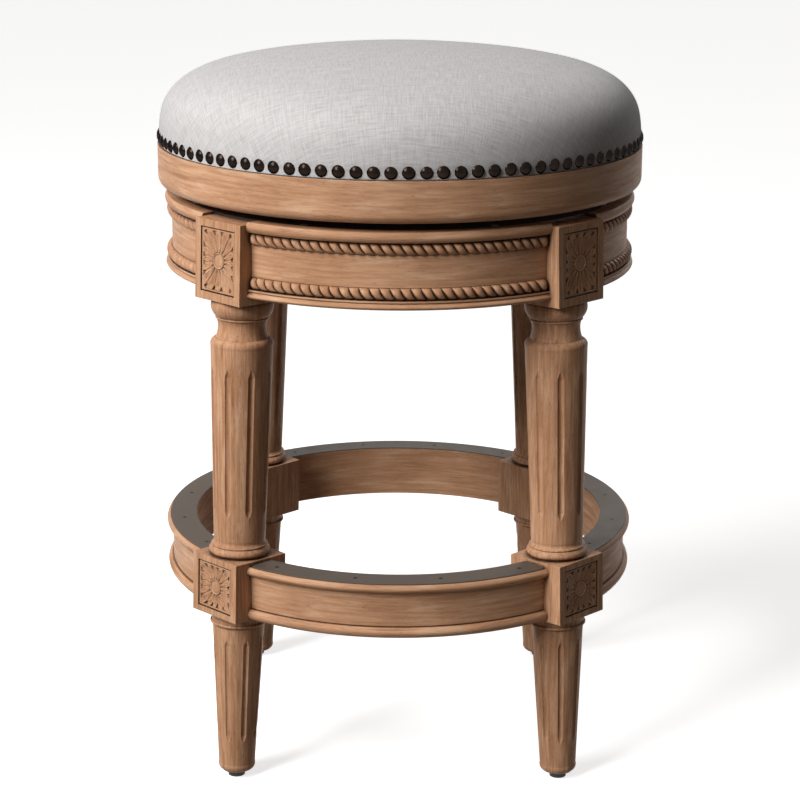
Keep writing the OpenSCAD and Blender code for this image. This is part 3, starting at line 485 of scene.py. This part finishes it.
# Carved panels: a ringed button, and hollowed petals that reach a flat border
PETALS = 16
PANEL_W = 47 * MM
APRON_PANEL_H = 60.5 * MM
FOOT_PANEL_H = 46 * MM
POCKET = 4.0 * MM
PANEL_GROUND = 1.2 * MM
PANEL_GAP = 0.25 * MM
PANEL_CELL = 0.38 * MM
BUTTON_R = 7.8 * MM
BORDER = 2.6 * MM
NOTCH = 4.2 * MM
RELIEF = 2.2 * MM
CORNER_POWER = 10.0
BUTTON_RADII = np.array([0, 4.4, 5.6, 6.1, 6.9, 7.5, 7.9, 8.3]) * MM
BUTTON_HEIGHTS = np.array([1.65, 1.55, 1.25, 1.1, 2.25, 1.9, 0.5, 0.3]) * MM
BUTTON_EDGE = 0.4 * MM
BORDER_EDGES = np.array([0, 0.45, 0.8]) * MM
BORDER_SHARES = (0.15, 0.15, 0.95)
# Along a petal, from 0 at the button to 1 at the border, against the shares given there
SLOT_DEPTHS = ((0, 0.08, 0.45, 0.75, 0.9), (0.6, 1.0, 0.9, 0.5, 0.6))
SLOT_WIDTHS_MM = ((0, 0.4, 0.8, 1), (0.7, 1.5, 1.3, 0.9))
HOLLOW_DEPTHS = ((0, 0.2, 0.75, 0.92), (0.1, 1, 1, 0))
SLOT_SHARE = 0.85
HOLLOW_SHARE = 0.6
HOLLOW_REACH = 0.30
VEIN_SHARE = 0.34
VEIN_W = 0.45 * MM
NOTCH_W = 2.5 * MM
NOTCH_POWER = 0.7
NOTCH_SLOPE = 0.6 * MM
NOTCH_SHARE = 0.8


def carved_height(y, z, width, height):
    """Height in metres above the floor of the pocket."""
    angle, distance = np.arctan2(z, y), np.hypot(y, z)
    reach = ((np.abs(np.cos(angle)) / (width / 2 - BORDER)) ** CORNER_POWER
             + (np.abs(np.sin(angle)) / (height / 2 - BORDER)) ** CORNER_POWER
             ) ** (-1 / CORNER_POWER)
    along = (distance - BUTTON_R) / (reach - BUTTON_R)

    # off is 0 on a petal's middle and 0.5 in the slot beside it
    where = angle * PETALS / (2 * np.pi)
    off = np.abs(where - np.round(where))
    pitch = 2 * np.pi / PETALS * distance
    to_slot = (0.5 - off) * pitch
    slot_width = np.interp(along, *SLOT_WIDTHS_MM) * MM
    slot = np.interp(along, *SLOT_DEPTHS) * np.exp(-(to_slot / slot_width) ** 2)
    dish = (HOLLOW_SHARE * np.clip(np.cos(np.pi * np.clip(off / HOLLOW_REACH, 0, 1) / 2), 0, 1)
            * np.interp(along, *HOLLOW_DEPTHS))
    vein = VEIN_SHARE * np.exp(-(off * pitch / VEIN_W) ** 2) * (along > 0.1) * (along < 0.8)
    sway = 0.12 * np.sin(3 * angle + 1.3) + 0.1 * np.sin(7 * angle)
    petals = RELIEF * (1 - SLOT_SHARE * slot - dish + vein) * (1 + sway * np.clip(along, 0, 1))
    to_end = np.clip((distance - (reach - NOTCH)) / NOTCH, 0, 1)
    notch = np.clip((NOTCH_W * to_end ** NOTCH_POWER - to_slot) / NOTCH_SLOPE, 0, 1)
    petals = petals * (1 - NOTCH_SHARE * notch * (distance < reach))
    edge = np.minimum(width / 2 - np.abs(y), height / 2 - np.abs(z))
    border = RELIEF * np.interp(edge, BORDER_EDGES, BORDER_SHARES)
    button = np.interp(distance, BUTTON_RADII, BUTTON_HEIGHTS)
    relief = np.where(distance < BUTTON_R + BUTTON_EDGE, button, petals)
    return np.minimum(PANEL_GROUND + np.where(distance < reach, relief, border), POCKET)


def carved_panel(width, height):
    """A closed panel with its back on the pocket's floor: +X is outwards, Y and Z are its face."""
    width, height = width - 2 * PANEL_GAP, height - 2 * PANEL_GAP
    ys = np.linspace(-width / 2, width / 2, round(width / PANEL_CELL))
    zs = np.linspace(-height / 2, height / 2, round(height / PANEL_CELL))
    y, z = np.meshgrid(ys, zs, indexing="ij")
    x = carved_height(y, z, width, height)
    rows, columns = x.shape
    points = list(np.stack([x, y, z], -1).reshape(-1, 3))
    faces = grid_faces(rows, columns)
    rim = list(range(columns))
    rim += [i * columns + columns - 1 for i in range(1, rows)]
    rim += [(rows - 1) * columns + j for j in range(columns - 2, -1, -1)]
    rim += [i * columns for i in range(rows - 2, 0, -1)]
    floor = len(points)
    points += [np.array([0.0, points[i][1], points[i][2]]) for i in rim]
    count = len(rim)
    faces += [(rim[k], rim[(k + 1) % count], floor + (k + 1) % count, floor + k)
              for k in range(count)]
    faces.append(tuple(range(floor, floor + count)))
    return points, faces


def carved_panels(name, height, mid_z, node):
    """The same panel in the blocks of all four legs."""
    panel = carved_panel(PANEL_W, height)
    parts = []
    for turn in LEG_TURNS:
        place = (turned(turn) @ Matrix.Translation((LEG_FOOT_R, 0, 0))
                 @ Matrix.Rotation(math.radians(-LEG_SPLAY), 4, "Y")
                 @ Matrix.Translation((BLOCK_HALF - POCKET, 0, mid_z)))
        parts.append(moved(panel, place))
    piece = add_mesh(name, *merged(parts), wood_carved)
    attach(piece, "base")
    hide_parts(node)


def lathe(profile, segments):
    """A closed turned shape round +Z; its (radius, height) pairs start and end on the axis."""
    ring = profile[1:-1]
    points = [(0.0, 0.0, profile[0][1])]
    for radius, height in ring:
        points += [(radius * math.cos(a), radius * math.sin(a), height)
                   for a in (2 * math.pi * k / segments for k in range(segments))]
    points.append((0.0, 0.0, profile[-1][1]))
    last = len(points) - 1
    faces = [tuple(1 + i for i in face) for face in grid_faces(len(ring), segments, closed=True)]
    for k in range(segments):
        after = (k + 1) % segments
        faces.append((0, 1 + after, 1 + k))
        base = 1 + (len(ring) - 1) * segments
        faces.append((last, base + k, base + after))
    return points, faces


# Upholstery nails: domes with a rolled edge, each set by hand a little differently
NAIL_R = 6.05 * MM
NAIL_H = 3.1 * MM
NAIL_RINGS = 8
NAIL_SEGMENTS = 24
NAIL_RIM = ((NAIL_R, -0.35 * MM), (NAIL_R - 0.7 * MM, -0.35 * MM), (0.0, -0.2 * MM))
NAIL_TILT = 2.0
NAIL_SLIP = 0.18 * MM
NAIL_SIZE_SPREAD = 0.012


def nail_heads():
    ball = (NAIL_R ** 2 + NAIL_H ** 2) / (2 * NAIL_H)
    reach = math.asin(NAIL_R / ball)
    profile = [(0.0, NAIL_H)]
    for k in range(1, NAIL_RINGS + 1):
        a = reach * k / NAIL_RINGS
        profile.append((ball * math.sin(a), NAIL_H - ball * (1 - math.cos(a))))
    head = lathe(profile + list(NAIL_RIM), NAIL_SEGMENTS)
    parts = []
    for k in range(NAIL_COUNT):
        tilt = DRAWS.normal(0, NAIL_TILT, 2)
        slip = DRAWS.normal(0, NAIL_SLIP, 2)
        size = 1 + DRAWS.normal(0, NAIL_SIZE_SPREAD)
        place = (turned(360 * k / NAIL_COUNT)
                 @ Matrix.Translation((COVER_R, slip[0], NAIL_Z + slip[1]))
                 @ Matrix.Rotation(math.radians(90 + tilt[0]), 4, "Y")
                 @ Matrix.Rotation(math.radians(tilt[1]), 4, "X") @ Matrix.Scale(size, 4))
        parts.append(moved(head, place))
    piece = add_mesh("upholstery_nails", *merged(parts), bronze)
    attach(piece, "seat")
    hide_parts("nail_heads")


# Screws of the tread plates: countersunk heads with a cross recess
PLATE_TOP_Z = 224.2 * MM
PLATE_MID_R = 217.6 * MM
PLATE_SCREW_R = 2.5 * MM
PLATE_SCREW_TURNS = (-31.5, -10.5, 10.5, 31.5)
PLATE_SCREW_SINK = 0.05 * MM
SCREW_CROWN = 0.12 * MM
SCREW_FOOT_SHARE = 0.6
SCREW_FOOT_Z = -1.1 * MM
CROSS_DEPTH = 0.75 * MM
CROSS_HALF_W = 0.34 * MM
CROSS_HALF_L = 1.5 * MM
SCREW_RINGS = 9
SCREW_SEGMENTS = 40


def cross_screw():
    rings, segments = SCREW_RINGS, SCREW_SEGMENTS
    points = [(0.0, 0.0, -CROSS_DEPTH)]
    for i in range(1, rings):
        radius = PLATE_SCREW_R * i / (rings - 1)
        for k in range(segments):
            a = 2 * math.pi * k / segments
            x, y = radius * math.cos(a), radius * math.sin(a)
            arm = min(abs(x), abs(y)) < CROSS_HALF_W and max(abs(x), abs(y)) < CROSS_HALF_L
            crown = SCREW_CROWN * (1 - (i / (rings - 1)) ** 2)
            points.append((x, y, -CROSS_DEPTH if arm else crown))
    foot_r = SCREW_FOOT_SHARE * PLATE_SCREW_R
    for k in range(segments):
        a = 2 * math.pi * k / segments
        points.append((foot_r * math.cos(a), foot_r * math.sin(a), SCREW_FOOT_Z))
    faces = [tuple(1 + i for i in face) for face in grid_faces(rings, segments, closed=True)]
    faces += [(0, 1 + (k + 1) % segments, 1 + k) for k in range(segments)]
    faces.append(tuple(1 + (rings - 1) * segments + k for k in range(segments)))
    return points, faces


def tread_screws():
    screw = cross_screw()
    parts = []
    for turn in SIDES.values():
        for off in PLATE_SCREW_TURNS:
            place = (turned(turn + off)
                     @ Matrix.Translation((PLATE_MID_R, 0, PLATE_TOP_Z - PLATE_SCREW_SINK))
                     @ turned(float(DRAWS.uniform(0, 90))))
            parts.append(moved(screw, place))
    piece = add_mesh("tread_screws", *merged(parts), screw_metal, smooth=False)
    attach(piece, "base")
    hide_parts("foot_plate_screws")


# ---------------------------------------------------------------- cushion
CROWN_SIDE_H = 62 * MM
CROWN_DOME_H = 17 * MM
CROWN_PLAN_POWER = 9.5
CROWN_SIDE_POWER = 2.5
CROWN_BULGE = 1.4 * MM
CROWN_BULGE_TOP = 56 * MM
SHRINK_FADE = 20 * MM
CROWN_SAMPLES = 400
PROFILE_SAMPLES = 600
CUSHION_CELLS = 132
CUSHION_SHRINK = 0.6 * MM
CUSHION_CAP = 3 * MM
CLOTH_SETTINGS = {
    "vertex_group_mass": "pinned", "quality": 6, "mass": 0.3, "tension_stiffness": 20,
    "compression_stiffness": 20, "shear_stiffness": 8, "bending_stiffness": 1.5,
    "use_pressure": True, "uniform_pressure_force": 1.5,
}
SIM_FRAMES = 20
PINNED_ABOVE_NAILS = 0.5 * MM
SMOOTHING_ROUNDS = 60
SIDE_FROM = 0.9
PLEAT_STRENGTHS = (0.4, 1.0)
PLEAT_DEPTH = 0.55 * MM
PLEAT_FADE = 7 * MM
PUFF = 0.35 * MM
PUFF_Z = 6 * MM
PUFF_SPREAD = 6 * MM
HEM_DIMPLE = 0.15 * MM
# The cushion's underside: the hem turned in, the frame's top, and the board inside the frame
HEM_FOOT_R = COVER_R - 1.5 * MM
HEM_INNER_R = COVER_R - 1.6 * MM
BOARD_EDGE_R = 216.6 * MM
COVER_END_R = 120 * MM
OVER_FRAME_Z = FRAME_TOP_Z + 0.4 * MM
OVER_BOARD_Z = BOARD_TOP_Z + 0.3 * MM


def crown_profile(inset):
    """Half outline of the cushion from the middle of its crown to the hem, evenly spaced."""
    shares = np.sin(np.radians(np.linspace(0, 90, CROWN_SAMPLES)))
    inside = np.maximum(0, 1 - shares ** CROWN_PLAN_POWER)
    height = (NAIL_Z + (CROWN_SIDE_H - inset) * inside ** (1 / CROWN_SIDE_POWER)
              + CROWN_DOME_H * (1 - shares ** 2))
    above = height - NAIL_Z
    radius = COVER_R * shares - inset * np.clip(above / SHRINK_FADE, 0, 1) * shares
    radius += CROWN_BULGE * np.sin(np.pi * np.clip(above / CROWN_BULGE_TOP, 0, 1))
    radius = np.append(radius, COVER_R)
    height = np.append(height, HEM_Z)
    steps = np.concatenate([[0], np.cumsum(np.hypot(np.diff(radius), np.diff(height)))])
    even = np.linspace(0, steps[-1], PROFILE_SAMPLES)
    return np.interp(even, steps, radius), np.interp(even, steps, height), even


def cushion_start():
    """An even grid of quads laid over the cushion's outline."""
    ticks = math.sqrt(2) * np.sin(np.linspace(-math.pi / 4, math.pi / 4, CUSHION_CELLS + 1))
    a, b = np.meshgrid(ticks, ticks, indexing="ij")
    x, y = a * np.sqrt(1 - b * b / 2), b * np.sqrt(1 - a * a / 2)
    share = np.clip(np.hypot(x, y), 0, 1)
    angle = np.arctan2(y, x)
    radius, height, run = crown_profile(CUSHION_SHRINK)
    length = run[-1]
    r = np.interp(share * length, run, radius)
    z = np.interp(share * length, run, height)
    points = np.stack([r * np.cos(angle), r * np.sin(angle), z], -1).reshape(-1, 3)
    plan = np.stack([x * length, y * length, 0 * x], -1).reshape(-1, 3)
    return points, grid_faces(CUSHION_CELLS + 1, CUSHION_CELLS + 1), plan


def smoothed(shift, free):
    """Evens out the shifts of the grid's points, so that the cover swells without creases."""
    side = CUSHION_CELLS + 1
    field, free = shift.reshape(side, side, 3).copy(), free.reshape(side, side, 1)
    field *= free
    for _ in range(SMOOTHING_ROUNDS):
        mean = (field[:-2, 1:-1] + field[2:, 1:-1] + field[1:-1, :-2] + field[1:-1, 2:]) / 4
        field[1:-1, 1:-1] = mean * free[1:-1, 1:-1]
    return field.reshape(-1, 3)


def inflate(obj, pinned):
    """Lets the cover swell against its pinned edge and keeps each point near its start."""
    start = np.array([v.co for v in obj.data.vertices], float)
    group = obj.vertex_groups.new(name="pinned")
    group.add([int(i) for i in np.flatnonzero(pinned)], 1.0, "REPLACE")
    cloth_mod = obj.modifiers.new("cover", "CLOTH")
    for key, value in CLOTH_SETTINGS.items():
        setattr(cloth_mod.settings, key, value)
    cloth_mod.settings.effector_weights.gravity = 0
    cloth_mod.collision_settings.use_collision = False
    cloth_mod.collision_settings.use_self_collision = False
    scene = bpy.context.scene
    for number in range(1, SIM_FRAMES + 1):
        scene.frame_set(number)
    shown = obj.evaluated_get(bpy.context.evaluated_depsgraph_get())
    found = np.array([v.co for v in shown.data.vertices], float)
    obj.modifiers.remove(cloth_mod)
    scene.frame_set(1)
    shift = smoothed(found - start, ~pinned)
    far = np.linalg.norm(shift, axis=1, keepdims=True)
    shift *= np.minimum(1.0, CUSHION_CAP / np.maximum(far, 1e-9))
    obj.data.vertices.foreach_set("co", (start + shift).ravel())
    obj.data.update()
    obj.vertex_groups.clear()


def cushion():
    points, faces, plan = cushion_start()
    cover = add_mesh("seat_cushion", points, faces, cloth)
    store = cover.data.attributes.new("cloth_plan", "FLOAT_VECTOR", "POINT")
    store.data.foreach_set("vector", plan.astype(np.float32).ravel())
    inflate(cover, points[:, 2] < NAIL_Z + PINNED_ABOVE_NAILS)

    bpy.context.view_layer.objects.active = cover
    finer = cover.modifiers.new("finer", "SUBSURF")
    finer.levels = finer.render_levels = 1
    bpy.ops.object.modifier_apply(modifier="finer")
    pull_at_nails(cover)
    close_below(cover)
    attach(cover, "seat")
    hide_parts("seat_cover", "seat_foam")


def pull_at_nails(cover):
    """Small pleats that fade upwards from the nails, and a hollow round each nail."""
    co = np.array([v.co for v in cover.data.vertices], float)
    radius = np.hypot(co[:, 0], co[:, 1])
    angle = np.arctan2(co[:, 1], co[:, 0])
    strength = DRAWS.uniform(*PLEAT_STRENGTHS, NAIL_COUNT)
    nail = np.round(angle * NAIL_COUNT / (2 * math.pi)).astype(int) % NAIL_COUNT
    above = np.clip(co[:, 2] - NAIL_Z, 0, None)
    wave = 0.5 + 0.5 * np.cos(angle * NAIL_COUNT)
    fade = np.exp(-above / PLEAT_FADE) * (above > 0)
    pull = PLEAT_DEPTH * strength[nail] * wave * fade
    puff = PUFF * np.exp(-((above - PUFF_Z) / PUFF_SPREAD) ** 2) * (above > 0)
    side = radius > COVER_R * SIDE_FROM
    out = np.where(side, puff - pull, 0.0)
    out -= np.where(co[:, 2] < NAIL_Z, HEM_DIMPLE * wave, 0)
    scale = 1 + out / np.maximum(radius, 1e-6)
    co[:, 0] *= scale
    co[:, 1] *= scale
    cover.data.vertices.foreach_set("co", co.ravel())
    cover.data.update()


def close_below(cover):
    """Turns the hem in and closes the cushion over the frame and down onto the board."""
    made = bmesh.new()
    made.from_mesh(cover.data)
    edges = [e for e in made.edges if e.is_boundary]
    rings = ((HEM_FOOT_R, HEM_Z), (HEM_INNER_R, OVER_FRAME_Z), (BOARD_EDGE_R, OVER_FRAME_Z),
             (BOARD_EDGE_R, OVER_BOARD_Z), (COVER_END_R, OVER_BOARD_Z))
    for radius, height in rings:
        result = bmesh.ops.extrude_edge_only(made, edges=edges)["geom"]
        for vert in (v for v in result if isinstance(v, bmesh.types.BMVert)):
            flat = math.hypot(vert.co.x, vert.co.y)
            vert.co.x *= radius / flat
            vert.co.y *= radius / flat
            vert.co.z = height
        edges = [e for e in result if isinstance(e, bmesh.types.BMEdge) and e.is_boundary]
    bmesh.ops.holes_fill(made, edges=edges, sides=0)
    bmesh.ops.recalc_face_normals(made, faces=made.faces)
    made.to_mesh(cover.data)
    made.free()
    cover.data.polygons.foreach_set("use_smooth", [True] * len(cover.data.polygons))
    cover.data.update()


rope_mouldings()
carved_panels("carved_apron_panels", APRON_PANEL_H, APRON_BLOCK_MID, "apron_rosettes")
carved_panels("carved_foot_panels", FOOT_PANEL_H, FOOT_BLOCK_MID, "foot_rosettes")
nail_heads()
tread_screws()
cushion()


# ---------------------------------------------------------------- studio
FLOOR_HALF = 30.0
FLOOR_MATT = (0.11, 0.10, 0.09, 1)
FLOOR_SHOWN = (0.8, 0.79, 0.79, 1)
FLOOR_LIFT = 0.69
ROOM_COLOUR = (1, 0.94, 0.86, 1)
ROOM_LOW, ROOM_HIGH = 0.012, 0.09
LAMP_TARGET_Z = 0.4


def seen_directly(s):
    """1 on the rays that show the background: from the camera, off gloss and through glass."""
    path = s.node("ShaderNodeLightPath").outputs
    return s.math("MAXIMUM", path["Is Camera Ray"],
                  s.math("MAXIMUM", path["Is Glossy Ray"], path["Is Transmission Ray"]))


def studio():
    """A pale floor and a white background that light the stool no more than grey ones would."""
    points = [(x * FLOOR_HALF, y * FLOOR_HALF, 0) for x, y in ((-1, -1), (1, -1), (1, 1), (-1, 1))]
    s = Shader("pale_floor")
    seen = seen_directly(s)
    matt = s.node("ShaderNodeBsdfDiffuse", {"Color": FLOOR_MATT}).outputs[0]
    shown_matt = s.node("ShaderNodeBsdfDiffuse", {"Color": FLOOR_SHOWN}).outputs[0]
    lift = s.node("ShaderNodeEmission", {"Color": (1, 1, 1, 1), "Strength": FLOOR_LIFT}).outputs[0]
    shown = s.node("ShaderNodeAddShader", {0: shown_matt, 1: lift}).outputs[0]
    surface = s.node("ShaderNodeMixShader", {0: seen, 1: matt, 2: shown}).outputs[0]
    floor = add_mesh("floor", points, [(0, 1, 2, 3)], s.finish(surface), smooth=False)

    world = bpy.data.worlds.new("studio")
    bpy.context.scene.world = world
    s = Shader("", world)
    way = s.node("ShaderNodeTexCoord").outputs["Generated"]
    height = s.node("ShaderNodeSeparateXYZ", {0: way}).outputs[2]
    light = s.node("ShaderNodeBackground", {
        "Color": ROOM_COLOUR,
        "Strength": s.span(height, -0.1, 1.0, ROOM_LOW, ROOM_HIGH)}).outputs[0]
    shown = s.node("ShaderNodeBackground", {"Color": (1, 1, 1, 1), "Strength": 1.0}).outputs[0]
    sky = s.node("ShaderNodeMixShader", {0: seen_directly(s), 1: light, 2: shown}).outputs[0]
    s.node("ShaderNodeOutputWorld", {"Surface": sky})

    add_lamp("key", "AREA", -53, 40, 3.0, shape="DISK", size=1.7, energy=100.0)
    add_lamp("front", "SUN", -43, 26, 0.0, energy=0.85, angle=math.radians(12))
    add_lamp("back", "SUN", 152, 27, 0.0, energy=0.65, angle=math.radians(30))


def add_lamp(name, kind, azimuth, elevation, distance, **settings):
    """Aims a lamp at the middle of the stool; an azimuth of 0 is the front, negative is left."""
    data = bpy.data.lights.new(name, kind)
    for key, value in settings.items():
        setattr(data, key, value)
    lamp = bpy.data.objects.new(name, data)
    lamp.matrix_world = (Matrix.Translation((0, 0, LAMP_TARGET_Z)) @ turned(azimuth)
                         @ Matrix.Rotation(math.radians(90 - elevation), 4, "X")
                         @ Matrix.Translation((0, 0, distance)))
    bpy.context.scene.collection.objects.link(lamp)


# The camera that was fitted to the photo: its tilt down and its roll in radians, its focal
# length in pixels of the 800-pixel frame, and its place
CAMERA_TILT = 0.2720
CAMERA_ROLL = 0.0045
CAMERA_FOCAL = 2241.0
CAMERA_PLACE = (0.0011, -2.170, 0.941)
FRAME_PIXELS = 800
SENSOR_W = 36
CLIP_NEAR, CLIP_FAR = 0.05, 100


def camera():
    forward = np.array([0, math.cos(CAMERA_TILT), -math.sin(CAMERA_TILT)])
    right, up = np.array([1.0, 0, 0]), np.array([0, math.sin(CAMERA_TILT), math.cos(CAMERA_TILT)])
    across = math.cos(CAMERA_ROLL) * right + math.sin(CAMERA_ROLL) * up
    over = -math.sin(CAMERA_ROLL) * right + math.cos(CAMERA_ROLL) * up
    data = bpy.data.cameras.new("photo_view")
    data.sensor_width = SENSOR_W
    data.lens = CAMERA_FOCAL / FRAME_PIXELS * SENSOR_W
    data.clip_start, data.clip_end = CLIP_NEAR, CLIP_FAR
    obj = bpy.data.objects.new("photo_view", data)
    columns = np.stack([across, over, -forward, CAMERA_PLACE], axis=1)
    obj.matrix_world = Matrix([*columns.tolist(), (0, 0, 0, 1)])
    bpy.context.scene.collection.objects.link(obj)
    bpy.context.scene.camera = obj


studio()
camera()
bpy.context.scene.view_settings.view_transform = "Standard"
